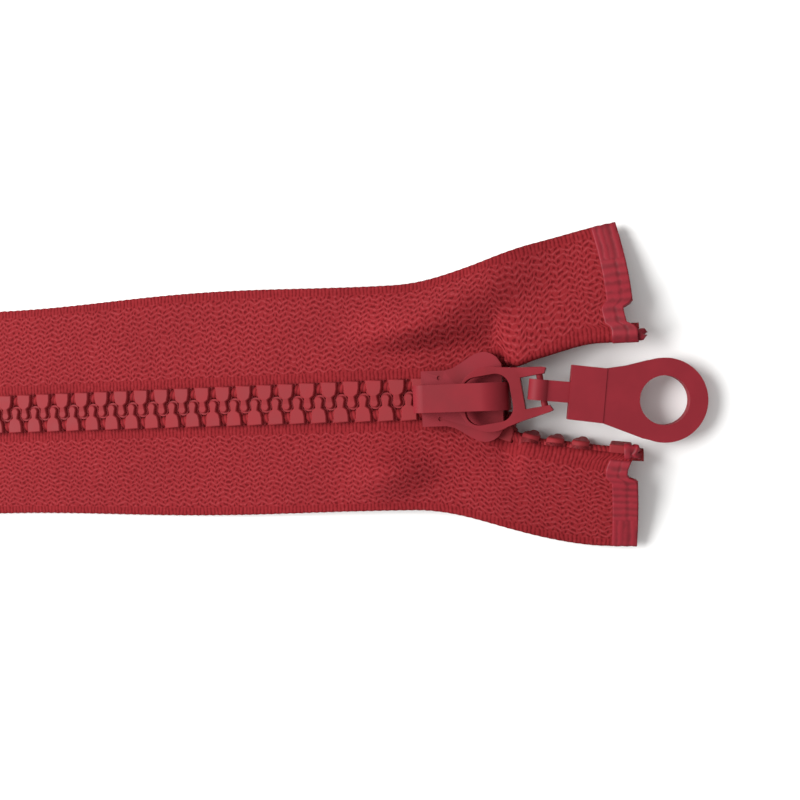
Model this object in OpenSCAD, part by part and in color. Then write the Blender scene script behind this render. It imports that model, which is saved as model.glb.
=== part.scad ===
/* [Zipper] */
// Length from the retainer box's end to the top ends of the tapes
zip_length = 800; // [300:10:900]
// Reach of each tape from the chain's centre line
tape_reach = 16.2; // [14:0.1:18]
// Thickness of the woven tape
tape_t = 0.55; // [0.4:0.05:0.7]
// Amount by which each tape's outer edge wanders in and out
edge_wave = 0.4; // [0:0.05:0.6]

/* [Chain] */
// Spacing of the teeth along one side
pitch = 3.4; // [3.2:0.05:3.6]
// Width over both rows of closed teeth
chain_w = 5.9; // [5.7:0.1:6.1]
// Thickness of the teeth
tooth_t = 2.6; // [2.4:0.1:2.6]
// Width of a tooth along the chain
tooth_w = 2.3; // [2.1:0.1:2.4]
// Radius of a tooth's round head
head_r = 0.6; // [0.5:0.05:0.65]
// Diameter of the cord woven into each tape edge
cord_d = 1.3; // [1.1:0.1:1.4]

/* [Slider] */
// Gap between the slider's rear end and the tapes' top ends
slider_from_top = 29.9; // [29.7:0.1:30.1]
// Length of the slider's plates
slider_l = 11.4; // [11.3:0.1:11.5]
// Thickness of each plate
plate_t = 1.05; // [0.9:0.05:1.1]
// Width of the bridge over the slider
bridge_w = 3.8; // [3.6:0.1:4]

/* [Puller] */
// Radius of the hole in the pull ring
ring_hole_r = 3.3; // [3:0.1:3.4]
// Outer radius of the pull ring
ring_r = 5.65; // [5.5:0.05:5.8]
// Thickness of the pull tab
tab_t = 2.1; // [1.8:0.1:2.2]
// Turn of the link towards the left side as it lies
link_yaw = 8; // [0:1:8]
// Turn of the tab towards the right side as it lies
tab_yaw = -7; // [-7:0.2:0]

/* [Bottom end] */
// Length of the retainer box
box_l = 9.4; // [9:0.1:10]
// Width of the retainer box
box_w = 8.6; // [8.4:0.1:9]
// Length of the pins, from the end of the box
pin_l = 16; // [15:0.5:17]

/* [Hidden] */

red = "#b3202c";
film_red = "#d23a45";
spring_grey = "#9a9ca0";
$fn = 32;

cord_y = chain_w / 2 - 0.95;      // cord centre from the chain's centre line
tooth_cross = 0.9;                // reach of a tooth past the centre line
tooth_neck = 0.42;                // half width of a tooth's neck
slider_x = zip_length - slider_from_top;
half_t = tooth_t / 2;
gap = 0.12;                       // clearance round the chain in the slider
stand_h = half_t + gap + plate_t; // lowest level, below the chain's middle
chain_dip = stand_h - half_t;     // drop of the chain between its two ends
first_tooth = pin_l + 2.6;
last_tooth = zip_length - 6.6;
stop_l = 2.8;                     // length of a top stop
film_l = 3.4;                     // length of a top film

// Smooth step from 0 at a to 1 at b
function ease(x, a, b) =
    let (t = max(0, min(1, (x - a) / (b - a))))
    t * t * (3 - 2 * t);

// Level of the chain's middle: level at both ends, lying lower between them
function chain_z(x) = -chain_dip * (ease(x, 60, 95) - ease(x, zip_length - 68, zip_length - 34));

// One side's flare past the slider. Each rise is [from, to, rise], measured back from the top end.
CORD_A = 0;                       // first rise of the cord
CORD_B = 1;                       // second rise of the cord
EDGE = 2;                         // outer edge's [offset, wave share]
EDGE_A = 3;                       // first rise of the outer edge
EDGE_B = 4;                       // second rise of the outer edge
HEIGHTS = 5;                      // [cord, outer edge, arch between them]
ROLL = 6;                         // roll of the teeth: [from, to, degrees]
LEAN = 7;                         // end edge: [outer corner set back, sharpness, all set back]
HOOK = 8;                         // straight part of the tape beside a rolled cord
left_flare = [[28.5, 13, 4.1], [17, 5, 2.2], [0.55, 1.1], [34, 12, 2.9], [22, -6, 3.2],
    [1.3, -3.2, 0.2], [20, 16, 150], [2.3, 1.8, 0.4], 1.25];
right_flare = [[28.5, 13, 4.4], [20, -3, 2.2], [-0.25, 0.75], [32, 4, 4.55], [31, 4, 0],
    [1.1, -2.8, 0.6], [18.4, 15.1, 80], [0.6, 2.5, 0.8], 0.8];

function rise(r, x) = r[2] * ease(x, zip_length - r[0], zip_length - r[1]);
function flare_cord_y(f, x) = cord_y + rise(f[CORD_A], x) + rise(f[CORD_B], x);
function flare_slope(f, x) = atan(flare_cord_y(f, x + 0.5) - flare_cord_y(f, x - 0.5));
function flare_edge_y(f, x) =
    tape_reach + f[EDGE][0] + f[EDGE][1] * edge_wave * sin((x - zip_length + 80) * 5.7)
    + rise(f[EDGE_A], x) + rise(f[EDGE_B], x);
function flare_lift(x) = ease(x, zip_length - 20, zip_length - 6);
function flare_cord_z(f, x) = chain_z(x) + rise([18.8, 15.2, f[HEIGHTS][0]], x);
function flare_roll(f, x) = rise(f[ROLL], x);

// The tape leaves the cord along the teeth's roll, then bends round to lie level
hook_r = 0.75;                    // radius of the bend
hook_end = 3.3;                   // end of the bend along the tape
function bend(l, q, s) = max(0, min(q, (s - l) / hook_r * 180 / PI));
function hook_y(l, q, s) =
    let (b = bend(l, q, s))
    min(s, l) * cos(q) + hook_r * (sin(q) - sin(q - b)) + max(0, s - l - hook_r * b * PI / 180);
function hook_z(l, q, s) = min(s, l) * sin(q) + hook_r * (cos(q - bend(l, q, s)) - cos(q));

// Height of the tape's middle over the cord at y, past the bend
function field_z(f, x, y) =
    let (v = max(0, (y - flare_cord_y(f, x)) / (flare_edge_y(f, x) - flare_cord_y(f, x))))
    flare_lift(x) * (f[HEIGHTS][1] * v + f[HEIGHTS][2] * sin(180 * v));

// Cut-back of the tape's end at y beside the cord: 1 in the notch and 0 away from it
function notch(y) = ease(y, 8.5, 9) - ease(y, 11.3, 12);

// Middle of the tape at station x: s along it up to the bend's end, then by share w out to the edge
function tape_point(f, x, s, w, end_cut) =
    let (
        q = flare_roll(f, x),
        yc = flare_cord_y(f, x),
        edge = flare_edge_y(f, x),
        y0 = yc + hook_y(f[HOOK], q, s),
        y = y0 + (edge - y0) * w,
        near_end = max(0, (x - zip_length + 8) / 8),
        v = max(0, (y - yc) / (edge - yc)),
        set_back = f[LEAN][0] * pow(v, f[LEAN][1]) + f[LEAN][2] * ease(v, 0, 0.2),
        back = set_back * ease(x, zip_length - 36, zip_length) + end_cut * notch(y) * near_end,
        z = flare_cord_z(f, x) + hook_z(f[HOOK], q, s) + field_z(f, x, y)
    )
    [x - back, y, z];

// Columns [s, w] of a sheet that starts at s0, with shares ws past the bend
function columns(s0, ws) = concat(
    [for (s = [-0.15, 0.6, 1.25, 1.7, 2.1, 2.5, 2.9]) if (s >= s0) [s, 0]],
    [for (w = ws) [max(s0, hook_end), w]]
);

// Closed sheet of thickness t over stations xs and columns cs
module tape_sheet(f, xs, cs, t, end_cut) {
    n = len(cs);
    rings = [for (x = xs)
        let (mid = [for (c = cs) tape_point(f, x, c[0], c[1], end_cut)])
        [for (k = [0 : 2 * n - 1])
            let (
                j = k < n ? k : 2 * n - 1 - k,
                side = k < n ? 1 : -1,
                step = mid[min(j + 1, n - 1)] - mid[max(j - 1, 0)],
                slope = atan2(step[2], step[1])
            )
            mid[j] + side * t / 2 * [0, -sin(slope), cos(slope)]
        ]];
    m = 2 * n;
    last = (len(xs) - 1) * m;
    polyhedron(
        points = [for (r = rings, p = r) p],
        faces = concat(
            [for (i = [0 : len(xs) - 2], k = [0 : m - 1])
                let (a = i * m + k, b = i * m + (k + 1) % m) [a, a + m, b]],
            [for (i = [0 : len(xs) - 2], k = [0 : m - 1])
                let (a = i * m + k, b = i * m + (k + 1) % m) [b, a + m, b + m]],
            [for (j = [0 : n - 2]) [j, j + 1, m - 2 - j]],
            [for (j = [0 : n - 2]) [j, m - 2 - j, m - 1 - j]],
            [for (j = [0 : n - 2]) [last + j + 1, last + j, last + m - 2 - j]],
            [for (j = [0 : n - 2]) [last + m - 2 - j, last + j, last + m - 1 - j]]
        )
    );
}

main_end = zip_length - 36;
main_steps = 54;
tape_xs = concat(
    [for (i = [0 : main_steps - 1]) 0.5 + (main_end - 0.5) * i / main_steps],
    [for (i = [0 : 4]) main_end + 3 * i],
    [for (x = [-20.5 : 1.5 : -1.5]) zip_length + x],
    [zip_length]
);
across = [0, 0.12, 0.3, 0.6, 1];

notch_depth = 1.3;
module side_of(s) {
    if (s > 0) children();
    else mirror([0, 1, 0]) children();
}

module tape(f, s) {
    color(red) side_of(s) tape_sheet(f, tape_xs, columns(-0.15, across), tape_t, notch_depth);
}

module left_tape() { tape(left_flare, 1); }
module right_tape() { tape(right_flare, -1); }

// Cord as an eight-sided tube along the tape's edge
module edge_cord(f, s) {
    xs = concat([pin_l + 0.3], [for (x = tape_xs) if (x > pin_l + 2) x]);
    sides = 8;
    last = (len(xs) - 1) * sides;
    color(red) side_of(s) polyhedron(
        points = [for (x = xs, k = [0 : sides - 1])
            [x, flare_cord_y(f, x) + cord_d / 2 * cos(360 * k / sides),
                flare_cord_z(f, x) + cord_d / 2 * sin(360 * k / sides)]],
        faces = concat(
            [for (i = [0 : len(xs) - 2], k = [0 : sides - 1])
                let (a = i * sides + k, b = i * sides + (k + 1) % sides) [a, b, b + sides, a + sides]],
            [[for (k = [0 : sides - 1]) sides - 1 - k]],
            [[for (k = [0 : sides - 1]) last + k]]
        )
    );
}

module left_cord() { edge_cord(left_flare, 1); }
module right_cord() { edge_cord(right_flare, -1); }

// Outline of one half of a tooth, from the tape side to the tip, with y = 0 at the cord
tooth_out = 0.95;
tooth_tip = -cord_y - tooth_cross;
head_y = tooth_tip + head_r;
shoulder_y = -0.1;
neck_y = head_y + 0.9;
half_outline = concat(
    [[tooth_w / 2, tooth_out]],
    [for (a = [0 : 45 : 90])
        [tooth_neck + (tooth_w / 2 - tooth_neck) * cos(a), shoulder_y - (shoulder_y - neck_y) * sin(a)]],
    [for (a = [30 : -45 : -60]) [head_r * cos(a), head_y + head_r * sin(a)]]
);
tooth_outline = concat(
    half_outline,
    [for (i = [len(half_outline) - 1 : -1 : 0]) [-half_outline[i][0], half_outline[i][1]]]
);

module tooth() {
    translate([0, 0, -half_t]) linear_extrude(tooth_t) polygon(tooth_outline);
}

// Places a child on the cord of one side, turned and rolled with it
module on_edge(f, x) {
    translate([x, flare_cord_y(f, x), flare_cord_z(f, x)])
        rotate([0, 0, flare_slope(f, x)])
        rotate([flare_roll(f, x), 0, 0])
        children();
}

module tooth_row(f, s, shift) {
    count = floor((last_tooth - first_tooth - shift) / pitch);
    start = last_tooth - shift - count * pitch;
    color(red) side_of(s) for (i = [0 : count]) on_edge(f, start + i * pitch) tooth();
}

module left_teeth() { tooth_row(left_flare, 1, 0); }
module right_teeth() { tooth_row(right_flare, -1, pitch / 2); }

module top_stop(f, s) {
    x = last_tooth + 3.5;
    color(red) side_of(s) on_edge(f, x)
        translate([-stop_l / 2, tooth_tip + 1.1, -half_t]) cube([stop_l, tooth_out - tooth_tip - 1.1, tooth_t]);
}

module left_top_stop() { top_stop(left_flare, 1); }
module right_top_stop() { top_stop(right_flare, -1); }

film_t = 0.75;
module top_film(f, s) {
    xs = [for (i = [0 : 4]) zip_length - film_l * (4 - i) / 4];
    color(film_red) side_of(s) tape_sheet(f, xs, columns(1.7, across), film_t, notch_depth);
}

module left_top_film() { top_film(left_flare, 1); }
module right_top_film() { top_film(right_flare, -1); }

bottom_film_l = 20;
module bottom_film(f, s) {
    xs = [for (i = [0 : 3]) 0.5 + bottom_film_l * i / 3];
    color(film_red) side_of(s) tape_sheet(f, xs, columns(box_w / 2 - cord_y + 0.3, [0, 0.5, 1]), film_t, 0);
}

module left_bottom_film() { bottom_film(left_flare, 1); }
module right_bottom_film() { bottom_film(right_flare, -1); }

pin_fit = 0.05;
slot_h = tape_t + 2 * pin_fit;

// Moulded pin on one tape edge, with a slot that holds the tape
module edge_pin(s, x0, nose) {
    inner = 0.1;
    outer = cord_y + tooth_out;
    color(red) side_of(s) difference() {
        union() {
            translate([x0 + nose, inner, -half_t]) cube([pin_l - x0 - nose, outer - inner, tooth_t]);
            translate([x0, inner + nose / 3, -half_t + nose / 3])
                cube([nose + 0.1, outer - inner - nose * 2 / 3, tooth_t - nose * 2 / 3]);
        }
        translate([x0 - 1, cord_y - 0.3, -slot_h / 2]) cube([pin_l + 2, outer, slot_h]);
    }
}

module insertion_pin() { edge_pin(1, 1.4, 0.9); }
module retainer_pin() { edge_pin(-1, 1.1, 0.2); }

module retainer_box() {
    wall = 1;
    color(red) difference() {
        union() {
            translate([0, -box_w / 2 + 0.6, -stand_h]) cube([box_l, box_w - 1.2, 2 * stand_h]);
            translate([0.6, -box_w / 2, -stand_h + 0.6]) cube([box_l - 1.2, box_w, 2 * stand_h - 1.2]);
        }
        translate([wall, -cord_y - tooth_out - pin_fit, -half_t - pin_fit])
            cube([box_l, 2 * (cord_y + tooth_out + pin_fit), tooth_t + 2 * pin_fit]);
        translate([-1, cord_y - 0.35, -slot_h / 2 - 0.05]) cube([box_l + 2, box_w, slot_h + 0.1]);
        translate([-1, -cord_y + 0.35 - box_w, -slot_h / 2 - 0.05]) cube([box_l + 2, box_w, slot_h + 0.1]);
    }
}

// Slider: plates with flanges, joined by the diamond between the parting rows
rear_hw = 3.87;
front_hw = 6.2;
flange_t = 0.6;
flange_z = 0.5;                   // lowest reach of a flange above the tape's middle
flange_l = 9.8;
neck_l = 3.4;                     // length of the straight rear part
shoulder_x = slider_l - 2.6;
shoulder_r = 2.8;
function plate_hw(x) =
    x < shoulder_x ? rear_hw + (front_hw - rear_hw) * ease(x, neck_l, shoulder_x)
    : front_hw - shoulder_r + sqrt(pow(shoulder_r, 2) - pow(x - shoulder_x, 2));
plate_xs = concat([0], [for (i = [0 : 5]) neck_l + (shoulder_x - neck_l) * i / 5],
    [for (i = [1 : 4]) shoulder_x + (slider_l - shoulder_x) * i / 4]);
function strip(xs, in) = concat(
    [for (x = xs) [x, in - plate_hw(x)]],
    [for (i = [len(xs) - 1 : -1 : 0]) [xs[i], plate_hw(xs[i]) - in]]
);
flange_xs = concat([for (x = plate_xs) if (x < flange_l) x], [flange_l]);

throat_h = half_t + gap;
module slider_plate() {
    translate([0, 0, throat_h]) linear_extrude(plate_t) polygon(strip(plate_xs, 0));
    difference() {
        translate([0, 0, flange_z]) linear_extrude(throat_h - flange_z + 0.1) polygon(strip(flange_xs, 0));
        translate([0, 0, flange_z - 0.1]) linear_extrude(throat_h - flange_z + 0.1)
            polygon(strip(concat([-1], flange_xs, [flange_l + 0.1]), flange_t));
    }
}

top_z = throat_h + plate_t;
pawl_x = 3.2;                     // pawl's tooth from the slider's rear end
pawl_w = 1.2;
module slider_body() {
    diamond_hw = 0.75;
    dimple_r = 0.3;
    color(red) translate([slider_x, 0, 0]) difference() {
        union() {
            slider_plate();
            mirror([0, 0, 1]) slider_plate();
            translate([0, 0, -throat_h - 0.1]) linear_extrude(2 * throat_h + 0.2)
                polygon([[slider_l - 3.6, 0], [slider_l - 0.9, -0.6], [slider_l, -diamond_hw],
                    [slider_l, diamond_hw], [slider_l - 0.9, 0.6]]);
        }
        translate([pawl_x - 0.6, -pawl_w / 2 - 0.1, throat_h - 0.5]) cube([1.2, pawl_w + 0.2, plate_t + 1]);
        for (s = [-1, 1])
            translate([2.6, s * 2.85, top_z - 0.15]) cylinder(r = dimple_r, h = 1);
    }
}

// Bridge: a bent strap on two feet over the plate, with space below it for the link
bridge_x0 = slider_x - 0.65;
bridge_x1 = slider_x + slider_l + 1.2;
bridge_h = 3.9;                   // top of the bridge above the plate
bridge_t = 0.9;
rear_bend = 1.9;                  // outer radii of its two bends
front_bend = 3.5;
foot_h = 1;
module bridge_side(l, h, rear, front) {
    intersection() {
        square([l, h]);
        hull() {
            square([l, 0.01]);
            translate([rear, h - rear]) circle(r = rear, $fn = 48);
            translate([l - front, h - front]) circle(r = front, $fn = 48);
        }
    }
}

module slider_bridge() {
    l = bridge_x1 - bridge_x0;
    color(red) translate([bridge_x0, bridge_w / 2, top_z]) rotate([90, 0, 0]) linear_extrude(bridge_w)
        union() {
            difference() {
                bridge_side(l, bridge_h, rear_bend, front_bend);
                translate([bridge_t, -0.01])
                    bridge_side(l - 2 * bridge_t, bridge_h - bridge_t + 0.01, rear_bend - bridge_t,
                        front_bend - bridge_t);
            }
            translate([0.2, 0]) square([1.5, foot_h]);
            translate([l - 1.7, 0]) square([1.5, foot_h]);
        }
}

// Pawl over the plate, with a tooth down to the chain, and the flat spring over it
pawl_t = 0.4;
spring_t = 0.3;
module lock_pawl() {
    color(spring_grey) translate([slider_x + 2.1, 0, 0]) {
        translate([0, -pawl_w / 2, top_z + 0.02]) cube([4.8, pawl_w, pawl_t]);
        translate([pawl_x - 2.6, -pawl_w / 2, half_t + 0.05])
            cube([1, pawl_w, top_z + pawl_t - half_t]);
    }
}

module lock_spring() {
    color(spring_grey) translate([slider_x + 2.1, -0.7, top_z + pawl_t + 0.06]) cube([5, 1.4, spring_t]);
}

// Pull link: a plate with an oval hole round the bridge and a window with a crossbar
link_t = 1.5;
link_tilt = 3;
rim_at = [slider_x + 6.15, -0.89, top_z + 1.82];
hole_c = 3.58;                    // hole's centre from the rim under the bridge
hole_r = 3.28;
hole_corner_r = 1.95;
crossbar_c = 11;
crossbar_r = 0.45;
module link_place() {
    translate(rim_at) rotate([0, link_tilt, link_yaw]) children();
}

module link_hole() {
    k = hole_r - hole_corner_r;
    square([2 * hole_r, 2 * k], center = true);
    square([2 * k, 2 * hole_r], center = true);
    for (sx = [-1, 1], sy = [-1, 1]) translate([sx * k, sy * k]) circle(r = hole_corner_r);
}

module pull_link() {
    loop_r = 4.45;
    loop_c = hole_c + 0.35;
    window_x = hole_c + 4.85;
    window_hw = 2.15;
    color(red) link_place() {
        translate([0, 0, -link_t / 2]) linear_extrude(link_t) difference() {
            union() {
                translate([loop_c, 0]) circle(r = loop_r);
                polygon([[loop_c, -loop_r], [hole_c + 4.2, -3.65], [hole_c + 7.9, -3.1],
                    [hole_c + 8.5, -2.9], [crossbar_c + 0.4, -1.6], [crossbar_c, -1.6],
                    [crossbar_c, 1.6], [crossbar_c + 0.4, 1.6], [hole_c + 8.5, 2.9],
                    [hole_c + 7.9, 3.1], [hole_c + 4.2, 3.65], [loop_c, loop_r]]);
            }
            translate([hole_c, 0]) link_hole();
            translate([window_x, -window_hw]) square([crossbar_c - window_x + 1, 2 * window_hw]);
        }
        translate([crossbar_c, 0, 0]) rotate([90, 0, 0])
            cylinder(r = crossbar_r, h = 2 * window_hw + 0.6, center = true);
    }
}

// Pull tab: a strap hooked over the crossbar, a stepped body and a ring
tab_drop = 12;
body_from = 3.65;
step_at = 8.3;
step_t = 0.1;                     // how far the body stands out before the step
ring_c = 16.2;
strap_w = 2.8;
strap_t = 1.6;
module tab_place() {
    link_place() translate([crossbar_c, 0, 0])
        rotate([0, -link_tilt, 0]) rotate([0, 0, -link_yaw]) rotate([0, tab_drop, tab_yaw]) children();
}

module tab_outline() {
    translate([ring_c, 0]) circle(r = ring_r, $fn = 64);
    polygon([[body_from, -3.6], [step_at, -3.75], [step_at + 2.6, -4.5], [ring_c - 2.5, -5.3],
        [ring_c, -ring_r], [ring_c, ring_r], [ring_c - 2.5, 5.15], [step_at + 2.6, 4.2],
        [step_at, 3.6], [body_from, 3.7]]);
}

module pull_tab() {
    loop_r = 1.4;
    slot_r = 0.62;
    color(red) tab_place() difference() {
        union() {
            translate([-0.45, 0, 0]) rotate([90, 0, 0]) cylinder(r = loop_r, h = strap_w, center = true);
            translate([-0.45, -strap_w / 2, -strap_t / 2]) cube([body_from + 1.2, strap_w, strap_t]);
            translate([0, 0, -tab_t / 2]) linear_extrude(tab_t) tab_outline();
            translate([0, 0, -tab_t / 2 - step_t]) linear_extrude(tab_t + 2 * step_t)
                polygon([[body_from, -3.6], [step_at, -3.75], [step_at, 3.6], [body_from, 3.7]]);
        }
        for (x = [-0.4, 0.25])
            translate([x, 0, 0]) rotate([90, 0, 0]) cylinder(r = slot_r, h = strap_w + 1, center = true);
        translate([-0.4, -strap_w, -slot_r]) cube([0.65, 2 * strap_w, 2 * slot_r]);
        translate([ring_c, 0, 0]) cylinder(r = ring_hole_r, h = tab_t + 2, center = true, $fn = 64);
    }
}

left_tape();
right_tape();
left_cord();
right_cord();
left_teeth();
right_teeth();
left_top_stop();
right_top_stop();
left_top_film();
right_top_film();
left_bottom_film();
right_bottom_film();
retainer_box();
retainer_pin();
insertion_pin();
slider_body();
slider_bridge();
lock_spring();
lock_pawl();
pull_link();
pull_tab();
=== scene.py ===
import math

import bmesh
import bpy
from bpy.props import FloatProperty, FloatVectorProperty, IntProperty, PointerProperty
from mathutils import Matrix, Vector


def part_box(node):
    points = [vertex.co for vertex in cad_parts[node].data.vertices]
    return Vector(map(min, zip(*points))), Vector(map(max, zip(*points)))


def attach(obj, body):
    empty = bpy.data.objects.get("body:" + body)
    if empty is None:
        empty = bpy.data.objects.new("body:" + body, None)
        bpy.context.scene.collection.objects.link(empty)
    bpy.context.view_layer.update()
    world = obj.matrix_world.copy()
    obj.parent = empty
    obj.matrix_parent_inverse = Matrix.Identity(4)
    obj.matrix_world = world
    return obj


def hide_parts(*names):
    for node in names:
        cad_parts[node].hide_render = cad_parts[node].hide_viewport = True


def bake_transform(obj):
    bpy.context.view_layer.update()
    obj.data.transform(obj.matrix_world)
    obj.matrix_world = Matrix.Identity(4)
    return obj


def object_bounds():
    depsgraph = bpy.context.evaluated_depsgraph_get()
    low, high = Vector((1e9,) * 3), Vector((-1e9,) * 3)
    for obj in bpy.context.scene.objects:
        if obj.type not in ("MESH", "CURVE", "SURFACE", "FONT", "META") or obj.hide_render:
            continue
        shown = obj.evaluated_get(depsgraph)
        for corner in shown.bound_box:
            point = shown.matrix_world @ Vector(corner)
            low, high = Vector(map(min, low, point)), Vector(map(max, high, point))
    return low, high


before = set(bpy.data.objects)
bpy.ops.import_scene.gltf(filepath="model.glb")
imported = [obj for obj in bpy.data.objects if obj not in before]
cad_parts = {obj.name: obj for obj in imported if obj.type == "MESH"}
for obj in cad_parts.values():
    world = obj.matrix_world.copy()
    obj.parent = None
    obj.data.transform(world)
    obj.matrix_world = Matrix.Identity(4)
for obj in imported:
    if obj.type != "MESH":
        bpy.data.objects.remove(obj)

bl_info = {
    "name": "Moulded-tooth zipper",
    "version": (1, 0, 0),
    "blender": (4, 5, 0),
    "location": "View3D > Sidebar > Zipper",
    "description": "Builds the looks of an open-end zipper round its fixed frame",
    "category": "Mesh",
}

MM = 0.001
SAME_PLACE = 0.001 * MM  # points nearer than this are one
CAD_BOX = [list(corner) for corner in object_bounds()]
STRINGER_JOIN = {"left": "left_stringer", "right": "right_stringer"}
SIGN = {"left": 1, "right": -1}


# ---------------------------------------------------------------- sizes and colours


class ZipperSizes(bpy.types.PropertyGroup):
    pitch: FloatProperty(name="Tooth spacing", description="Spacing of the teeth along one side",
                         default=3.4 * MM, unit="LENGTH")
    tooth_w: FloatProperty(name="Tooth width", description="Width of a tooth along the chain",
                           default=2.3 * MM, unit="LENGTH")
    tooth_t: FloatProperty(name="Tooth thickness", description="Thickness of the teeth",
                           default=2.6 * MM, unit="LENGTH")
    tape_t: FloatProperty(name="Tape thickness", description="Thickness of the woven tape",
                          default=0.5 * MM, unit="LENGTH")
    cord_d: FloatProperty(name="Cord diameter", description="Diameter of the cord in the tape's edge",
                          default=1.3 * MM, unit="LENGTH")
    weave_period: FloatProperty(name="Zigzag length", description="Length of one zigzag of the weave",
                                default=2.1 * MM, unit="LENGTH")
    weave_row: FloatProperty(name="Row spacing", description="Spacing of the weave's zigzag rows",
                             default=0.75 * MM, unit="LENGTH")
    rib_pitch: FloatProperty(name="Loop spacing", description="Spacing of the loops along the tape's edges",
                             default=0.58 * MM, unit="LENGTH")
    edge_round: FloatProperty(name="Edge rounding", unit="LENGTH", default=0.3 * MM,
                              description="Rounding of the slider's and puller's edges")


class ZipperColours(bpy.types.PropertyGroup):
    cloth: FloatVectorProperty(name="Cloth", description="Colour of the woven tape", subtype="COLOR",
                               size=3, default=(0.205, 0.0132, 0.0170), min=0, max=1)
    resin: FloatVectorProperty(name="Resin", description="Colour of the moulded teeth and pins",
                               subtype="COLOR", size=3, default=(0.188, 0.0122, 0.0155), min=0, max=1)
    paint: FloatVectorProperty(name="Slider paint", description="Colour of the slider and the puller",
                               subtype="COLOR", size=3, default=(0.176, 0.0103, 0.0160), min=0, max=1)
    film: FloatVectorProperty(name="End film", description="Colour of the film on the tape ends",
                              subtype="COLOR", size=3, default=(0.190, 0.0095, 0.0175), min=0, max=1)
    floor: FloatVectorProperty(name="Floor", description="Colour of the floor", subtype="COLOR",
                               size=3, default=(0.88, 0.88, 0.87), min=0, max=1)


def sizes():
    return bpy.context.scene.zipper_sizes


def colours():
    return bpy.context.scene.zipper_colours


# ---------------------------------------------------------------- the run of the tapes, in millimetres

LENGTH = 800.0
CORD_Y = 2.0  # cords from the middle line, along the closed chain
TAPE_REACH = 16.2  # outer edges from the middle line, along the closed chain
WIDTH = 14.2  # width of one tape laid out flat
EDGE_WAVE = 0.4
WAVE_PHASE, WAVE_RATE = 80, 5.7  # millimetres from the top end, and degrees a millimetre
CHAIN_DIP = 1.17  # the chain lies this much lower than the box and the slider hold it
DIP_BOTTOM, DIP_TOP = (60, 95), (68, 34)  # over these distances from either end
HOOK_R = 0.75  # radius of the bend beside the rolled cord
HOOK_END = 3.3  # where that bend ends, measured along the tape
CORD_LIFT_RUN = (18.8, 15.2)
END_LIFT_RUN = (20, 6)
LEVEL_RUN, LEVEL_SHARE = (30, 2), (0.12, 0.55)
SET_BACK_RUN, SET_BACK_SHARE = 36, 0.2
FOLD_INNER, FOLD_OUTER = (6.3, 10.5), 6  # the swell fades out towards both edges
NOTCH, NOTCH_DEPTH, NOTCH_RUN = (8.5, 9, 11.3, 12), 1.3, 8  # cut in the top ends, from the middle line

# The flared top ends. A rise is (where it starts, where it ends, how much), from the top end.
#   cord, edge: rises of the cord's and the outer edge's distance from the middle line
#   reach, wave: how far the outer edge stands out all along, and the strength of its wave
#   lift, field, arch: height of the cord, the outer edge and the middle of the tape at the end
#   roll: rise of the cord's roll, in degrees
#   lean, sharp, back: how far the cut end is set back at the outer edge, how suddenly, and at the cord
#   hook: straight part of the tape before the bend beside the cord
#   level: height of the tape away from the cord
#   fold: the swell beside the slider, as distance from the top end, length, height, slant and middle
#   tuck: how much of the weave is drawn in at the bend
FLARES = {
    "left": dict(cord=((28.5, 13, 4.1), (17, 5, 2.2)), edge=((34, 12, 2.9), (22, -6, 3.2)),
                 reach=0.55, wave=1.1, lift=1.3, field=-3.2, arch=0.2, roll=(20, 16, 150),
                 lean=2.3, sharp=1.8, back=0.4, hook=1.25, level=2.3,
                 fold=(27, 8, 3.8, 0.8, 13), tuck=2.0),
    "right": dict(cord=((28.5, 13, 4.4), (20, -3, 2.2)), edge=((32, 4, 4.55),),
                  reach=-0.25, wave=0.75, lift=1.1, field=-2.8, arch=0.6, roll=(18.4, 15.1, 80),
                  lean=0.6, sharp=2.5, back=0.8, hook=0.8, level=1.8,
                  fold=(34.5, 5, 2.5, -0.5, 10), tuck=0.9),
}


def ease(x, a, b):
    """0 up to a, 1 from b on, and smooth between them."""
    t = max(0.0, min(1.0, (x - a) / (b - a)))
    return t * t * (3 - 2 * t)


def rise(r, x):
    """How much of the rise r has come in at x."""
    return r[2] * ease(x, LENGTH - r[0], LENGTH - r[1])


def chain_z(x):
    return -CHAIN_DIP * (ease(x, *DIP_BOTTOM) - rise((*DIP_TOP, 1), x))


def cord_y(side, x):
    return CORD_Y + sum(rise(r, x) for r in FLARES[side]["cord"])


def edge_y(side, x):
    f = FLARES[side]
    wave = f["wave"] * EDGE_WAVE * math.sin(math.radians((x - LENGTH + WAVE_PHASE) * WAVE_RATE))
    return TAPE_REACH + f["reach"] + wave + sum(rise(r, x) for r in f["edge"])


def flare_lift(x):
    return rise((*END_LIFT_RUN, 1), x)


def cord_z(side, x):
    return chain_z(x) + rise((*CORD_LIFT_RUN, FLARES[side]["lift"]), x)


def bend_at(straight, q, s):
    """Angle the tape has turned through at s along it, where q is its roll at the cord."""
    return max(0.0, min(q, (s - straight) / HOOK_R))


def hook_y(straight, q, s):
    """How far out from the cord the tape has come at s along it."""
    b = bend_at(straight, q, s)
    level = max(0.0, s - straight - HOOK_R * b)
    return min(s, straight) * math.cos(q) + HOOK_R * (math.sin(q) - math.sin(q - b)) + level


def hook_z(straight, q, s):
    """How far above the cord the tape is at s along it."""
    b = bend_at(straight, q, s)
    return min(s, straight) * math.sin(q) + HOOK_R * (math.cos(q - b) - math.cos(q))


def slow_fold(side, x, y, outer):
    """Height of the soft swell that runs slantwise over the tape beside the slider."""
    back, length, height, slant, middle = FLARES[side]["fold"]
    along = math.exp(-(((x - LENGTH + back - slant * (y - middle)) / length) ** 2))
    return height * along * ease(y, *FOLD_INNER) * ease(outer - y, 0, FOLD_OUTER)


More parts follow.
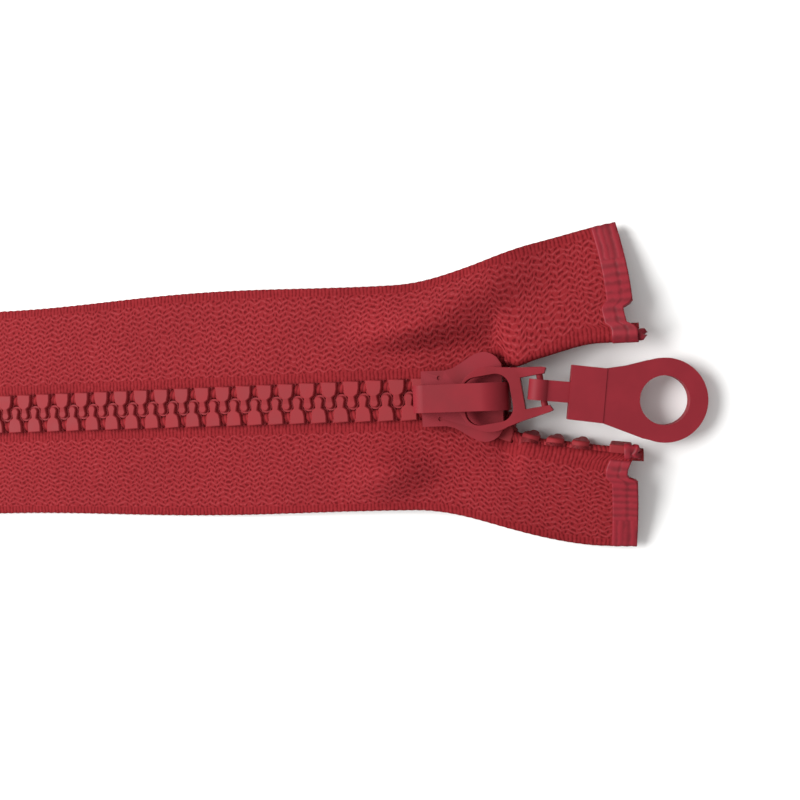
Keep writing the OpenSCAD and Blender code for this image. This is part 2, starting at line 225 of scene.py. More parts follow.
def end_notch(y):
    return ease(y, *NOTCH[:2]) - ease(y, *NOTCH[2:])


def tape_point(side, x, s, w, proud=0.0):
    """Point of the tape's middle layer: s along it from the cord, then by share w out to its edge.

    The outer edge stands proud of that by the loops' scallops.
    """
    f = FLARES[side]
    q = math.radians(rise(f["roll"], x))
    inner, outer = cord_y(side, x), edge_y(side, x)
    y = inner + hook_y(f["hook"], q, s)
    y += (outer - y) * w
    v = max(0.0, (y - inner) / (outer - inner))
    near_end = max(0.0, (x - LENGTH + NOTCH_RUN) / NOTCH_RUN)
    back = f["lean"] * v ** f["sharp"] + f["back"] * ease(v, 0, SET_BACK_SHARE)
    back *= ease(x, LENGTH - SET_BACK_RUN, LENGTH)
    back += NOTCH_DEPTH * end_notch(y) * near_end
    z = cord_z(side, x) + hook_z(f["hook"], q, s)
    level = chain_z(x) + rise((*LEVEL_RUN, f["level"]), x)
    z += (level - z) * ease(v, *LEVEL_SHARE) + slow_fold(side, x, y, outer)
    z += flare_lift(x) * (f["field"] * v + f["arch"] * math.sin(math.pi * v))
    return Vector((x - back, SIGN[side] * (y + proud), z)) * MM


def edge_frame(side, x):
    """Places a tooth on the cord: x along the cord, y out of the chain, z up, turned and rolled with it."""
    slope = math.atan(cord_y(side, x + 0.5) - cord_y(side, x - 0.5))
    roll = math.radians(rise(FLARES[side]["roll"], x))
    place = Matrix.Translation(Vector((x, cord_y(side, x), cord_z(side, x))) * MM)
    turn = Matrix.Rotation(slope, 4, "Z") @ Matrix.Rotation(roll, 4, "X")
    flip = Matrix.Diagonal((1, SIGN[side], 1, 1))
    return flip @ place @ turn


# ---------------------------------------------------------------- mesh helpers


def new_object(name, bm, material, smooth=True):
    if smooth:
        for face in bm.faces:
            face.smooth = True
    mesh = bpy.data.meshes.new(name)
    bm.to_mesh(mesh)
    bm.free()
    obj = bpy.data.objects.new(name, mesh)
    bpy.context.scene.collection.objects.link(obj)
    mesh.materials.append(material)
    return obj


def mapped_grid(nu, nv, place, uv=None):
    """A grid of nu by nv cells whose points go where place(u, v) says, u and v from 0 to 1."""
    bm = bmesh.new()
    bmesh.ops.create_grid(bm, x_segments=nu, y_segments=nv, size=0.5)
    layer = bm.loops.layers.uv.new("pattern")
    if uv:
        for face in bm.faces:
            for loop in face.loops:
                loop[layer].uv = uv(loop.vert.co.x + 0.5, loop.vert.co.y + 0.5)
    for vert in bm.verts:
        vert.co = place(vert.co.x + 0.5, vert.co.y + 0.5)
    return bm


def closed_tube(bm, sides):
    """Joins a grid's long edges into a tube and fills its ends."""
    bmesh.ops.remove_doubles(bm, verts=bm.verts, dist=SAME_PLACE)
    bmesh.ops.holes_fill(bm, edges=bm.edges, sides=sides)
    return bm


def recalculated(bm):
    bmesh.ops.recalc_face_normals(bm, faces=bm.faces)
    return bm


# ---------------------------------------------------------------- node helpers


class Nodes:
    """Adds shader nodes to a tree and joins them."""

    def __init__(self, tree):
        self.tree = tree

    def add(self, kind, inputs=None, **settings):
        node = self.tree.nodes.new(kind)
        for key, value in settings.items():
            setattr(node, key, value)
        for key, value in (inputs or {}).items():
            self.join(value, node.inputs[key])
        return node

    def join(self, value, socket):
        if isinstance(value, bpy.types.NodeSocket):
            self.tree.links.new(value, socket)
        else:
            socket.default_value = value

    def math(self, operation, a, b=0.0, clamp=False):
        node = self.add("ShaderNodeMath", operation=operation, use_clamp=clamp)
        self.join(a, node.inputs[0])
        self.join(b, node.inputs[1])
        return node.outputs[0]

    def smooth(self, value, low, high, to_low=0.0, to_high=1.0):
        node = self.add("ShaderNodeMapRange", interpolation_type="SMOOTHSTEP")
        for key, part in zip(("Value", "From Min", "From Max", "To Min", "To Max"),
                             (value, low, high, to_low, to_high)):
            self.join(part, node.inputs[key])
        return node.outputs[0]

    def mix(self, factor, a, b):
        return self.math("ADD", self.math("MULTIPLY", a, self.math("SUBTRACT", 1.0, factor)),
                         self.math("MULTIPLY", b, factor))

    def noise(self, vector, scale, detail=2.0):
        node = self.add("ShaderNodeTexNoise", {"Vector": vector, "Scale": scale, "Detail": detail})
        return node.outputs["Fac"]

    def unevenness(self, vector, scale, size):
        """Noise about zero."""
        return self.math("MULTIPLY", self.math("SUBTRACT", self.noise(vector, scale), 0.5), size)

    def mix_colour(self, factor, a, b):
        node = self.add("ShaderNodeMix", data_type="RGBA")
        self.join(factor, node.inputs[0])
        self.join(a, node.inputs[6])
        self.join(b, node.inputs[7])
        return node.outputs[2]


FLOAT = "NodeSocketFloat"
VECTOR = "NodeSocketVector"
MAP_UNIT = 100.0  # millimetres in one unit of the UV map pattern


def group_of(name, inputs, outputs, fill):
    """A shader group, made once: inputs as (name, socket type, default), outputs without the default."""
    if name in bpy.data.node_groups:
        return bpy.data.node_groups[name]
    tree = bpy.data.node_groups.new(name, "ShaderNodeTree")
    for label, kind, default in inputs:
        socket = tree.interface.new_socket(label, in_out="INPUT", socket_type=kind)
        if default is not None:
            socket.default_value = default
    for label, kind in outputs:
        tree.interface.new_socket(label, in_out="OUTPUT", socket_type=kind)
    ends = tree.nodes.new("NodeGroupInput"), tree.nodes.new("NodeGroupOutput")
    fill(Nodes(tree), ends[0].outputs, ends[1].inputs)
    return tree


def zigzag_weave(n, given, out):
    """Rows of stitches along U on a gentle zigzag, staggered from row to row, with pits between them."""
    u, v = given["U"], given["V"]
    period, row = given["Period"], given["Row"]
    where = n.add("ShaderNodeCombineXYZ", {"X": u, "Y": v}).outputs[0]
    sway = n.unevenness(where, 0.3, 2.6)
    jitter = n.unevenness(where, 1.3, 0.8)
    along = n.math("ADD", u, n.math("ADD", sway, jitter))
    half = n.math("DIVIDE", period, 2.0)
    swing = n.math("DIVIDE", n.math("PINGPONG", along, half), half)
    bent = n.math("ADD", v, n.math("MULTIPLY", swing, n.math("MULTIPLY", row, 0.75)))
    bent = n.math("DIVIDE", n.math("ADD", bent, n.math("MULTIPLY", jitter, 0.4)), row)
    ridge = n.math("COSINE", n.math("MULTIPLY", bent, 2 * math.pi))
    stagger = n.math("MULTIPLY", n.math("FLOOR", bent), 0.5)
    stitch = n.math("ADD", n.math("DIVIDE", along, n.math("DIVIDE", period, 2.9)), stagger)
    between = n.math("COSINE", n.math("MULTIPLY", stitch, 2 * math.pi))
    pit = n.math("MULTIPLY", n.smooth(between, -0.4, 0.9), n.smooth(ridge, 0.0, -0.9))
    line = n.math("MULTIPLY", n.smooth(ridge, 0.1, 1.0), 0.28)
    patchy = n.unevenness(where, 2.3, 0.75)
    height = n.math("ADD", n.math("ADD", line, 0.58), patchy)
    n.join(n.math("SUBTRACT", height, n.math("MULTIPLY", pit, 0.6)), out["Height"])


def loop_ribs(n, given, out):
    """Loops side by side across the tape's edge bands."""
    u, v = given["U"], given["V"]
    where = n.add("ShaderNodeCombineXYZ", {"X": u, "Y": v}).outputs[0]
    shift = n.unevenness(where, 0.8, 0.5)
    turns = n.math("MULTIPLY", n.math("ADD", u, shift), n.math("DIVIDE", math.pi, given["Pitch"]))
    rib = n.math("MULTIPLY", n.math("ABSOLUTE", n.math("SINE", turns)), 0.5)
    patchy = n.unevenness(where, 1.9, 0.9)
    n.join(n.math("ADD", n.math("ADD", rib, patchy), 0.15), out["Height"])


def fine_grain(n, given, out):
    """Slow and fine unevenness of a moulded or painted surface."""
    slow = n.noise(given["Vector"], given["Slow"], 3.0)
    fine = n.noise(given["Vector"], given["Fine"], 2.0)
    n.join(slow, out["Slow"])
    n.join(fine, out["Fine"])


def weave_node(n, u, v, s):
    inputs = [("U", FLOAT, 0.0), ("V", FLOAT, 0.0), ("Period", FLOAT, 2.1), ("Row", FLOAT, 0.75)]
    tree = group_of("Zigzag weave", inputs, [("Height", FLOAT)], zigzag_weave)
    values = {"U": u, "V": v, "Period": s.weave_period / MM, "Row": s.weave_row / MM}
    return n.add("ShaderNodeGroup", values, node_tree=tree).outputs["Height"]


def ribs_node(n, u, v, s):
    inputs = [("U", FLOAT, 0.0), ("V", FLOAT, 0.0), ("Pitch", FLOAT, 0.6)]
    tree = group_of("Loop ribs", inputs, [("Height", FLOAT)], loop_ribs)
    values = {"U": u, "V": v, "Pitch": s.rib_pitch / MM}
    return n.add("ShaderNodeGroup", values, node_tree=tree).outputs["Height"]


def grain_node(n, slow, fine):
    """Two noises of the object's own space, whose scales are slow and fine."""
    inputs = [("Vector", VECTOR, None), ("Slow", FLOAT, 100.0), ("Fine", FLOAT, 3000.0)]
    tree = group_of("Fine grain", inputs, [("Slow", FLOAT), ("Fine", FLOAT)], fine_grain)
    place = n.add("ShaderNodeTexCoord").outputs["Object"]
    node = n.add("ShaderNodeGroup", {"Vector": place, "Slow": slow, "Fine": fine}, node_tree=tree)
    return node.outputs["Slow"], node.outputs["Fine"]


def pattern_map(n):
    """The two values of the UV map pattern. Along the zipper it counts in units of MAP_UNIT."""
    split = n.add("ShaderNodeSeparateXYZ",
                  {"Vector": n.add("ShaderNodeUVMap", uv_map="pattern").outputs[0]})
    return split.outputs["X"], split.outputs["Y"]


def bumped(n, shader, height, strength, distance):
    """Joins a bump from height to the shader: distance is in millimetres."""
    values = {"Height": height, "Strength": strength, "Distance": distance * MM}
    n.join(n.add("ShaderNodeBump", values).outputs[0], shader.inputs["Normal"])


def finish(shader, roughness, specular):
    shader.inputs["Roughness"].default_value = roughness
    shader.inputs["Specular IOR Level"].default_value = specular


def new_material(name):
    """A new material, its node adder and its Principled shader."""
    material = bpy.data.materials.new(name)
    material.use_nodes = True
    tree = material.node_tree
    return material, Nodes(tree), tree.nodes["Principled BSDF"]


def shaded(colour, share):
    return (colour[0] * share, colour[1] * share, colour[2] * share, 1.0)


# ---------------------------------------------------------------- materials

INNER_BAND = (2.2, 2.5)  # across a tape laid flat, where the looped band ends and the weave starts
OUTER_BAND = (WIDTH - 1.25, WIDTH - 0.95)
CORD_TURN = 1.2  # length of one turn of the yarn wound on the cords
FILM_LENGTH = 3.4  # length of the film at the top ends
FILM_BAND = (WIDTH - 4.3, WIDTH - 3.9)
FILM_ROW, FILM_LINE = 1.05, 0.85  # spacing of the ribs that show through the film
CREASE_AT, CREASE_HALF = 2.0, 0.45


def cloth_material():
    """Red zigzag-woven polyester with looped bands along both edges."""
    if "Woven tape" in bpy.data.materials:
        return bpy.data.materials["Woven tape"]
    material, n, shader = new_material("Woven tape")
    s, c = sizes(), colours().cloth
    u, v = (n.math("MULTIPLY", value, MAP_UNIT) for value in pattern_map(n))
    weave = weave_node(n, u, v, s)
    ribs = ribs_node(n, u, v, s)
    inner = n.smooth(v, *INNER_BAND, 1.0, 0.0)
    outer = n.smooth(v, *OUTER_BAND)
    height = n.mix(n.math("MAXIMUM", inner, outer), weave, ribs)
    slow, fine = grain_node(n, 130.0, 5200.0)
    height = n.math("ADD", height, n.math("MULTIPLY", n.math("SUBTRACT", fine, 0.5), 0.15))
    # painted shade: the pits between the stitches are coloured darker than the cloth
    painted_pit_shade = (c[0] * 0.55, c[1] * 0.36, c[2] * 0.4, 1.0)
    # painted sheen: the tops of the stitches are coloured lighter and paler
    painted_ridge_sheen = (c[0] * 1.3, c[1] * 2.4, c[2] * 2.2, 1.0)
    colour = n.mix_colour(n.smooth(height, 0.05, 0.6), painted_pit_shade, shaded(c, 1.0))
    colour = n.mix_colour(n.smooth(height, 0.6, 1.05), colour, painted_ridge_sheen)
    colour = n.mix_colour(n.smooth(slow, 0.35, 0.7, 0.0, 0.16), colour, shaded(c, 0.6))
    n.join(colour, shader.inputs["Base Color"])
    finish(shader, 0.85, 0.08)
    bumped(n, shader, height, 0.6, 0.16)
    return material


def cord_material():
    """The same yarn wound as a cord, its turns slanting round it."""
    if "Edge cord" in bpy.data.materials:
        return bpy.data.materials["Edge cord"]
    material, n, shader = new_material("Edge cord")
    c = colours().cloth
    along, around = pattern_map(n)
    turns = n.math("MULTIPLY", n.math("MULTIPLY", along, MAP_UNIT), 2 * math.pi / CORD_TURN)
    turns = n.math("ADD", turns, n.math("MULTIPLY", around, 2 * math.pi))
    wound = n.math("ABSOLUTE", n.math("SINE", turns))
    # painted shade: the grooves between the turns are coloured darker and their crests lighter
    n.join(n.mix_colour(wound, shaded(c, 0.6), shaded(c, 1.1)), shader.inputs["Base Color"])
    finish(shader, 0.8, 0.1)
    bumped(n, shader, wound, 0.5, 0.12)
    return material


def moulded_material(name, colour, roughness):
    """Moulded or painted surface: slight mottling, a fine skin and a painted highlight on its edges."""
    if name in bpy.data.materials:
        return bpy.data.materials[name]
    material, n, shader = new_material(name)
    slow, fine = grain_node(n, 260.0, 6000.0)
    tint = n.mix_colour(n.smooth(slow, 0.3, 0.7), shaded(colour, 0.9), shaded(colour, 1.1))
    # painted highlight: the sharp edges are coloured lighter and paler
    pointed = n.add("ShaderNodeNewGeometry").outputs["Pointiness"]
    edge = n.smooth(pointed, 0.51, 0.56, 0.0, 0.35)
    light = (min(1, colour[0] * 1.5), colour[1] * 2.2, colour[2] * 2.2, 1.0)
    n.join(n.mix_colour(edge, tint, light), shader.inputs["Base Color"])
    n.join(n.smooth(slow, 0.2, 0.8, roughness - 0.05, roughness + 0.07), shader.inputs["Roughness"])
    shader.inputs["Specular IOR Level"].default_value = 0.14
    height = n.math("ADD", n.math("MULTIPLY", slow, 0.6), n.math("MULTIPLY", fine, 0.4))
    bumped(n, shader, height, 0.35, 0.05)
    return material


def resin_material():
    return moulded_material("Moulded resin", colours().resin, 0.6)


def paint_material():
    return moulded_material("Slider paint", colours().paint, 0.58)


def film_material():
    """Glossy film pressed over the weave: ribs show through it, and a crease runs across it."""
    if "End film" in bpy.data.materials:
        return bpy.data.materials["End film"]
    material, n, shader = new_material("End film")
    c = colours().film
    u, v = (n.math("MULTIPLY", value, MAP_UNIT) for value in pattern_map(n))
    u = n.math("SUBTRACT", u, LENGTH - FILM_LENGTH)
    slow, fine = grain_node(n, 700.0, 4000.0)
    wander = n.math("MULTIPLY", n.math("SUBTRACT", slow, 0.5), 0.5)
    rows = n.math("SINE", n.math("MULTIPLY", n.math("ADD", v, wander), 2 * math.pi / FILM_ROW))
    lines = n.math("SINE", n.math("MULTIPLY", n.math("ADD", u, wander), 2 * math.pi / FILM_LINE))
    height = n.mix(n.smooth(v, *FILM_BAND), rows, lines)
    crease = n.math("ABSOLUTE", n.math("SUBTRACT", n.math("ADD", u, wander), CREASE_AT))
    crease = n.smooth(crease, 0.0, CREASE_HALF, 0.45, 0.0)
    height = n.math("SUBTRACT", n.math("ADD", n.math("MULTIPLY", height, 0.28), slow), crease)
    # painted shade: the troughs between the ribs and the crease are coloured darker and the crests lighter;
    # the slow mottling is the film's own tone
    colour = n.mix_colour(n.smooth(height, -0.3, 0.8), shaded(c, 0.62), shaded(c, 1.2))
    n.join(colour, shader.inputs["Base Color"])
    finish(shader, 0.5, 0.22)
    bumped(n, shader, height, 0.5, 0.1)
    return material


def steel_material():
    if "Spring steel" in bpy.data.materials:
        return bpy.data.materials["Spring steel"]
    material, n, shader = new_material("Spring steel")
    slow, fine = grain_node(n, 400.0, 5000.0)
    n.join(n.mix_colour(slow, (0.30, 0.30, 0.31, 1), (0.50, 0.50, 0.52, 1)), shader.inputs["Base Color"])
    shader.inputs["Metallic"].default_value = 1.0
    n.join(n.smooth(fine, 0.3, 0.7, 0.28, 0.42), shader.inputs["Roughness"])
    return material


# ---------------------------------------------------------------- tapes, cords and films

TAPE_STATIONS = (0.5, LENGTH - 110, 2.4, 0.6)  # start, where the steps turn fine, and both steps
CORD_STATIONS = (16.3, LENGTH - 50, 6.0, 1.0)
TAPE_COLUMNS, FILM_COLUMNS = 48, 36
SCALLOP, SCALLOP_PITCH = 0.09, 1.2
CORD_SIDES = 12
CORD_COVER = 0.22  # the yarn wound round the cord adds this to its radius
FILM_T = 0.72
RAG_SIDES = 16
RAGS = {"left": (-0.8, 0.95, 0.9, 3.2), "right": (-0.5, 1.15, 0.9, 1.9)}  # middle, half sizes, length


def bend_with(obj, side):
    """Bakes the piece's placement into its mesh."""
    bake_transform(obj)


def stations(start, fine_from, coarse, fine):
    """Places along the zipper: coarse steps, then fine ones from fine_from to the top end."""
    count = round((fine_from - start) / coarse)
    xs = [start + (fine_from - start) * i / count for i in range(count)]
    more = round((LENGTH - fine_from) / fine)
    return xs + [fine_from + (LENGTH - fine_from) * i / more for i in range(more + 1)]


def tape_mesh(side, xs, s0, columns):
    """Grid over the tape from s0 along it out to its edge, with the looped edge's scallops.

    The nearer to the cord it starts, the more of its columns go to the bend.
    """
    last = len(xs) - 1
    bent = 14 if s0 < 1 else 6 if s0 < 2 else 0

    def at(u, v):
        x, k = xs[round(u * last)], round(v * columns)
        if k < bent:
            return x, s0 + (HOOK_END - s0) * k / bent, 0.0
        return x, max(s0, HOOK_END), (k - bent) / (columns - bent)

    def place(u, v):
        x, s, w = at(u, v)
        scallop = SCALLOP * abs(math.sin(math.pi * x / SCALLOP_PITCH)) * (w > 0.999)
        return tape_point(side, x, s, w, scallop)

    def pattern(u, v):
        x, s, w = at(u, v)
        tuck = FLARES[side]["tuck"] * flare_lift(x) * (1 - w)
        return x / MAP_UNIT, (s - tuck + (WIDTH - s) * w) / MAP_UNIT

    return mapped_grid(last, columns, place, pattern)


def thicken(obj, thickness):
    """Gives a sheet its thickness, half to either side."""
    modifier = obj.modifiers.new("Thickness", "SOLIDIFY")
    modifier.thickness = thickness
    modifier.offset = 0.0
    modifier.use_even_offset = True


class ZIPPER_OT_tapes(bpy.types.Operator):
    """Woven tapes with looped edges, flat along the chain and flared past the slider"""

    bl_idname = "zipper.tapes"
    bl_label = "Tapes"

    def execute(self, context):
        for side in ("left", "right"):
            xs = stations(*TAPE_STATIONS)
            bm = tape_mesh(side, xs, -0.1, TAPE_COLUMNS)
            obj = new_object(f"{side}_tape_cloth", recalculated(bm), cloth_material())
            thicken(obj, sizes().tape_t)
            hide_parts(f"{side}_tape")
            bend_with(obj, side)
        return {"FINISHED"}


class ZIPPER_OT_cords(bpy.types.Operator):
    """Cords woven into the tapes' inner edges"""

    bl_idname = "zipper.cords"
    bl_label = "Edge cords"

    def execute(self, context):
        radius = sizes().cord_d / 2 + CORD_COVER * MM
        for side in ("left", "right"):
            xs = stations(*CORD_STATIONS)
            last = len(xs) - 1

            def place(u, v):
                x = xs[round(u * last)]
                a = 2 * math.pi * v
                y = SIGN[side] * (cord_y(side, x) * MM + radius * math.cos(a))
                return Vector((x * MM, y, cord_z(side, x) * MM + radius * math.sin(a)))

            bm = mapped_grid(last, CORD_SIDES, place, lambda u, v: (xs[round(u * last)] / MAP_UNIT, v))
            closed_tube(bm, CORD_SIDES)
            obj = new_object(f"{side}_edge_cord", recalculated(bm), cord_material())
            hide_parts(f"{side}_cord")
            bend_with(obj, side)
        return {"FINISHED"}


class ZIPPER_OT_films(bpy.types.Operator):
    """Glossy films pressed over the tapes at both ends"""

    bl_idname = "zipper.films"
    bl_label = "End films"

    def execute(self, context):
        for side in ("left", "right"):
            for end in ("top", "bottom"):
                node = f"{side}_{end}_film"
                if end == "top":
                    start, stop, body = LENGTH - FILM_LENGTH, LENGTH, STRINGER_JOIN[side]
                    s0, steps = 1.7, 14
                else:
                    low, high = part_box(node)
                    start, stop, body = low.x / MM, high.x / MM, "bottom_end"
                    s0, steps = 2.6, 40
                xs = [start + (stop - start) * i / steps for i in range(steps + 1)]
                bm = tape_mesh(side, xs, s0, FILM_COLUMNS)
                obj = new_object(f"{node}_skin", recalculated(bm), film_material())
                thicken(obj, FILM_T * MM)
                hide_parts(node)
                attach(obj, body)
            self.ragged_end(side)
        return {"FINISHED"}

    @staticmethod
    def ragged_end(side):
        """Film wrapped round the end of the cord, torn off unevenly just past the tape."""
        middle, half_y, half_z, length = RAGS[side]

        def place(u, v):
            a = 2 * math.pi * v
            torn = 0.3 * (u > 0.5) * (math.sin(3 * a + 1) + 0.5 * math.sin(5 * a))
            x = LENGTH - 2.4 + length * u + torn
            size = (1 - 0.25 * ease(u, 0.3, 0.6) + 0.12 * ease(u, 0.65, 0.8)) * (u < 0.99 or 0.3)
            y = cord_y(side, LENGTH) + middle + half_y * size * math.cos(a)
            z = cord_z(side, LENGTH) + 1.1 + half_z * size * math.sin(a)
            return Vector((x, SIGN[side] * y, z)) * MM

        def pattern(u, v):
            return (LENGTH - FILM_LENGTH + 3 * u) / MAP_UNIT, 0.05 + 0.04 * v

        bm = closed_tube(mapped_grid(9, RAG_SIDES, place, pattern), RAG_SIDES)
        obj = new_object(f"{side}_film_end", recalculated(bm), film_material())
        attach(obj, STRINGER_JOIN[side])


# ---------------------------------------------------------------- teeth and stops

TOOTH_OUT = 0.95  # the body's outer end and the head's tip, from the cord
TOOTH_TIP = -2.9
TOOTH_BEVEL = 0.32
HEAD_R = 0.62
NECK_HW = 0.42
NECK_Y = -1.3
SHOULDER_Y = -0.1
HEAD_DROP = 0.14  # the head is this much thinner than the body on either face
WEB_GROW, WEB_INSET = 0.28, 0.6  # the thin web stands out round the tooth, below its faces
FIRST_TOOTH, LAST_TOOTH = 18.6, LENGTH - 6.6


def tooth_outline(half_w, grow=0.0):
    """Right half of a tooth's outline from its outer end to the tip, in millimetres."""
    head_y = TOOTH_TIP + HEAD_R
    points = [(half_w + grow, TOOTH_OUT)]
    for a in (0, 45, 90):
        t = math.radians(a)
        points.append((NECK_HW + (half_w - NECK_HW) * math.cos(t) + grow,
                       SHOULDER_Y + (NECK_Y - SHOULDER_Y) * math.sin(t)))
    for a in (35, -5, -45, -75):
        t = math.radians(a)
        points.append(((HEAD_R + grow) * math.cos(t), head_y + (HEAD_R + grow) * math.sin(t)))
    return points


def prism(bm, outline, half_t):
    """A solid of the mirrored outline between -half_t and half_t."""
    right = [bm.verts.new(Vector((x, y, -half_t)) * MM) for x, y in outline]
    left = [bm.verts.new(Vector((-x, y, -half_t)) * MM) for x, y in outline]
    cells = [bm.faces.new((left[i], left[i + 1], right[i + 1], right[i])) for i in range(len(outline) - 1)]
    raised = bmesh.ops.extrude_face_region(bm, geom=cells)["geom"]
    tops = [g for g in raised if isinstance(g, bmesh.types.BMVert)]
    bmesh.ops.translate(bm, verts=tops, vec=(0, 0, 2 * half_t * MM))


def tooth_template(s):
    """One tooth: a body moulded on the cord, round shoulders, a neck, a round head and a thin web."""
    half_w = s.tooth_w / MM / 2
    half_t = s.tooth_t / MM / 2
    bm = bmesh.new()
    prism(bm, tooth_outline(half_w), half_t)
    recalculated(bm)
    rims = [e for e in bm.edges if len(e.link_faces) == 2 and e.calc_face_angle(0) > math.radians(60)
            and abs(e.verts[0].co.z - e.verts[1].co.z) < SAME_PLACE]
    bmesh.ops.bevel(bm, geom=rims, offset=TOOTH_BEVEL * MM, segments=1, profile=0.5, affect="EDGES",
                    material=-1, clamp_overlap=True)
    for vert in bm.verts:
        if vert.co.y < (NECK_Y - 0.1) * MM:
            vert.co.z *= 1 - HEAD_DROP / half_t
    prism(bm, tooth_outline(half_w, WEB_GROW), half_t - WEB_INSET)
    for face in bm.faces:
        face.smooth = abs(face.normal.z) < 0.95
    mesh = bpy.data.meshes.new("tooth")
    bm.to_mesh(mesh)
    bm.free()
    return mesh


class ZIPPER_OT_teeth(bpy.types.Operator):
    """Rows of teeth moulded on the cords"""

    bl_idname = "zipper.teeth"
    bl_label = "Teeth"

    def execute(self, context):
        s = sizes()
        pitch = s.pitch / MM
        template = tooth_template(s)
        for side, shift in (("left", 0), ("right", pitch / 2)):
            count = math.floor((LAST_TOOTH - FIRST_TOOTH - shift) / pitch)
            start = LAST_TOOTH - shift - count * pitch
            bm = bmesh.new()
            for i in range(count + 1):
                before = len(bm.verts)
                bm.from_mesh(template)
                bm.verts.ensure_lookup_table()
                place = edge_frame(side, start + i * pitch)
                bmesh.ops.transform(bm, matrix=place, verts=bm.verts[before:])
            recalculated(bm)
            obj = new_object(f"{side}_tooth_row", bm, resin_material(), smooth=False)
            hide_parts(f"{side}_teeth")
            bend_with(obj, side)
        bpy.data.meshes.remove(template)
        return {"FINISHED"}


# ---------------------------------------------------------------- hard pieces from their CAD solids

FLAT_ANGLE = math.radians(1.5)  # faces that turn less than this are joined up
SHARP_ANGLE = math.radians(32)  # edges that turn more than this are rounded
ROUND_STEPS = 3
PULLER_ROUND = 1.1  # rounding of the link and the tab, by the slider's
MOULDING_ROUND = 0.25


def rounded_copy(node, name, width, material):
    """A copy of a CAD solid with its flat faces joined up and its edges rounded."""
    bm = bmesh.new()
    bm.from_mesh(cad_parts[node].data)
    bmesh.ops.remove_doubles(bm, verts=bm.verts, dist=SAME_PLACE)
    bmesh.ops.dissolve_limit(bm, angle_limit=FLAT_ANGLE, verts=bm.verts, edges=bm.edges)
    obj = new_object(name, bm, material)
    obj.data.materials.clear()
    obj.data.materials.append(material)
    modifier = obj.modifiers.new("Rounding", "BEVEL")
    modifier.width = width
    modifier.segments = ROUND_STEPS
    modifier.limit_method = "ANGLE"
    modifier.angle_limit = SHARP_ANGLE
    even = obj.modifiers.new("Even shading", "WEIGHTED_NORMAL")
    even.weight = 80
    return obj


class ZIPPER_OT_slider(bpy.types.Operator):
    """Slider body, bridge, link and tab with rounded edges, and the steel lock parts"""

    bl_idname = "zipper.slider"
    bl_label = "Slider and puller"

    def execute(self, context):
        r = sizes().edge_round
        for node, body, width in (("slider_body", "slider", r), ("slider_bridge", "slider", r),
                                  ("pull_link", "link", r * PULLER_ROUND),
                                  ("pull_tab", "tab", r * PULLER_ROUND)):
            obj = rounded_copy(node, f"{node}_shell", width, paint_material())
            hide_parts(node)
            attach(obj, body)
        for node in ("lock_spring", "lock_pawl"):
            for material_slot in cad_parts[node].material_slots:
                material_slot.material = steel_material()
        return {"FINISHED"}


class ZIPPER_OT_bottom_end(bpy.types.Operator):
    """Retainer box, the two pins and the top stops"""

    bl_idname = "zipper.bottom_end"
    bl_label = "Box, pins and stops"

    def execute(self, context):
        for node, body in (("retainer_box", "bottom_end"), ("retainer_pin", "bottom_end"),
                           ("insertion_pin", "bottom_end"), ("left_top_stop", "left_stringer"),
                           ("right_top_stop", "right_stringer")):
            obj = rounded_copy(node, f"{node}_moulding", MOULDING_ROUND * MM, resin_material())
            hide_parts(node)
            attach(obj, body)
        return {"FINISHED"}


# ---------------------------------------------------------------- stage

AIM = Vector((LENGTH - 33.7, 0, 0)) * MM
FLOOR_SIZE = 3.0
WORLD_LIGHT = 0.62
KEY_OFFSET, KEY_SIZE, KEY_POWER = Vector((-0.35, 0.06, 0.38)), 0.42, 4.5
CAMERA_TILT, CAMERA_TURN = math.radians(74.7), math.radians(2.1)
CAMERA_AWAY = 0.15676
SENSOR, LENS = 36, 49.5


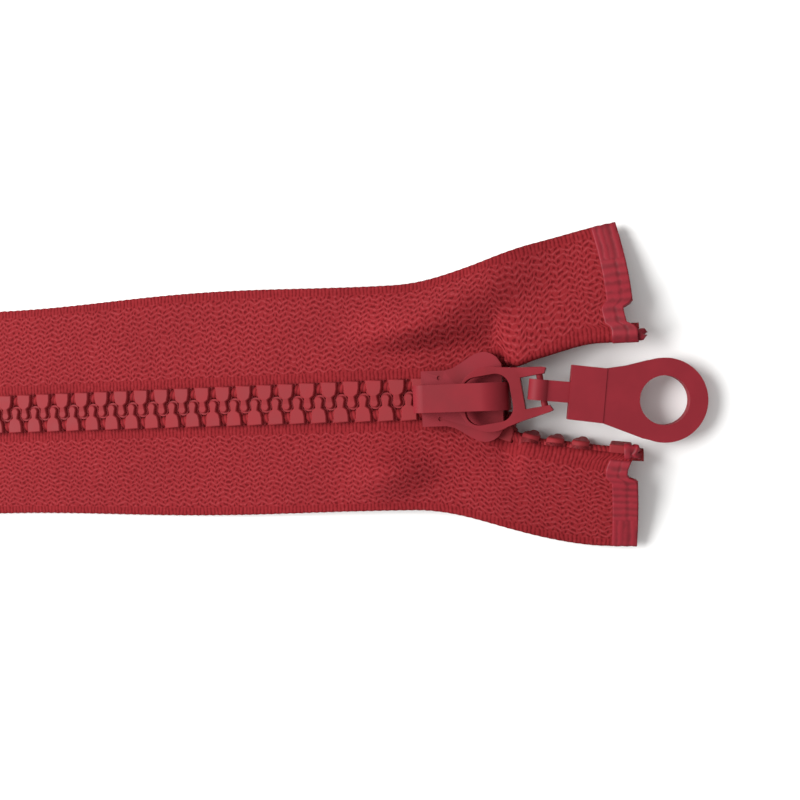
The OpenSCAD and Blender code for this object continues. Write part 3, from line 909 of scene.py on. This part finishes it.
class ZIPPER_OT_stage(bpy.types.Operator):
    """Pale floor, soft studio light and the camera"""

    bl_idname = "zipper.stage"
    bl_label = "Stage"

    def execute(self, context):
        scene = context.scene
        scene.view_settings.view_transform = "Standard"
        floor_z = CAD_BOX[0][2]
        bm = bmesh.new()
        bmesh.ops.create_grid(bm, x_segments=1, y_segments=1, size=FLOOR_SIZE)
        bmesh.ops.translate(bm, verts=bm.verts, vec=(LENGTH / 2 * MM, 0, floor_z))
        material, _, shader = new_material("Pale floor")
        shader.inputs["Base Color"].default_value = shaded(colours().floor, 1.0)
        shader.inputs["Roughness"].default_value = 0.9
        new_object("floor", bm, material)
        world = scene.world or bpy.data.worlds.new("Studio")
        scene.world = world
        world.use_nodes = True
        backdrop = world.node_tree.nodes["Background"]
        backdrop.inputs["Color"].default_value = (1, 1, 1, 1)
        backdrop.inputs["Strength"].default_value = WORLD_LIGHT
        self.key_light(scene)
        self.camera(scene)
        return {"FINISHED"}

    @staticmethod
    def key_light(scene):
        """Round softbox above the chain, aimed at the slider."""
        light = bpy.data.lights.new("Key light", "AREA")
        light.shape = "DISK"
        light.size = KEY_SIZE
        light.energy = KEY_POWER
        obj = bpy.data.objects.new("Key light", light)
        obj.location = AIM + KEY_OFFSET
        obj.rotation_euler = (AIM - obj.location).to_track_quat("-Z", "Y").to_euler()
        scene.collection.objects.link(obj)

    @staticmethod
    def camera(scene):
        """Camera over the slider, standing a little towards the top end, and turned a little."""
        back = Vector((math.cos(CAMERA_TILT), 0, math.sin(CAMERA_TILT)))
        across = Vector((math.sin(CAMERA_TILT), 0, -math.cos(CAMERA_TILT)))
        north = Vector((0, 1, 0))
        right = across * math.cos(CAMERA_TURN) - north * math.sin(CAMERA_TURN)
        up = across * math.sin(CAMERA_TURN) + north * math.cos(CAMERA_TURN)
        data = bpy.data.cameras.new("Camera")
        data.sensor_width = SENSOR
        data.lens = LENS
        data.clip_start = 0.01
        camera = bpy.data.objects.new("Camera", data)
        matrix = Matrix((right, up, back)).transposed().to_4x4()
        matrix.translation = AIM + back * CAMERA_AWAY
        camera.matrix_world = matrix
        scene.collection.objects.link(camera)
        scene.camera = camera


# ---------------------------------------------------------------- panel and registration

STEPS = (ZIPPER_OT_stage, ZIPPER_OT_tapes, ZIPPER_OT_cords, ZIPPER_OT_films, ZIPPER_OT_teeth,
         ZIPPER_OT_slider, ZIPPER_OT_bottom_end)


class ZIPPER_PT_panel(bpy.types.Panel):
    """Lists the zipper's steps"""

    bl_label = "Zipper"
    bl_space_type = "VIEW_3D"
    bl_region_type = "UI"
    bl_category = "Zipper"

    def draw(self, context):
        for step in STEPS:
            self.layout.operator(step.bl_idname)


CLASSES = (ZipperSizes, ZipperColours, *STEPS, ZIPPER_PT_panel)


def register():
    for cls in CLASSES:
        bpy.utils.register_class(cls)
    bpy.types.Scene.zipper_sizes = PointerProperty(type=ZipperSizes)
    bpy.types.Scene.zipper_colours = PointerProperty(type=ZipperColours)


def unregister():
    del bpy.types.Scene.zipper_colours
    del bpy.types.Scene.zipper_sizes
    for cls in reversed(CLASSES):
        bpy.utils.unregister_class(cls)


def main():
    register()
    bpy.ops.zipper.stage()
    bpy.ops.zipper.tapes()
    bpy.ops.zipper.cords()
    bpy.ops.zipper.films()
    bpy.ops.zipper.teeth()
    bpy.ops.zipper.slider()
    bpy.ops.zipper.bottom_end()


if __name__ == "__main__":
    main()
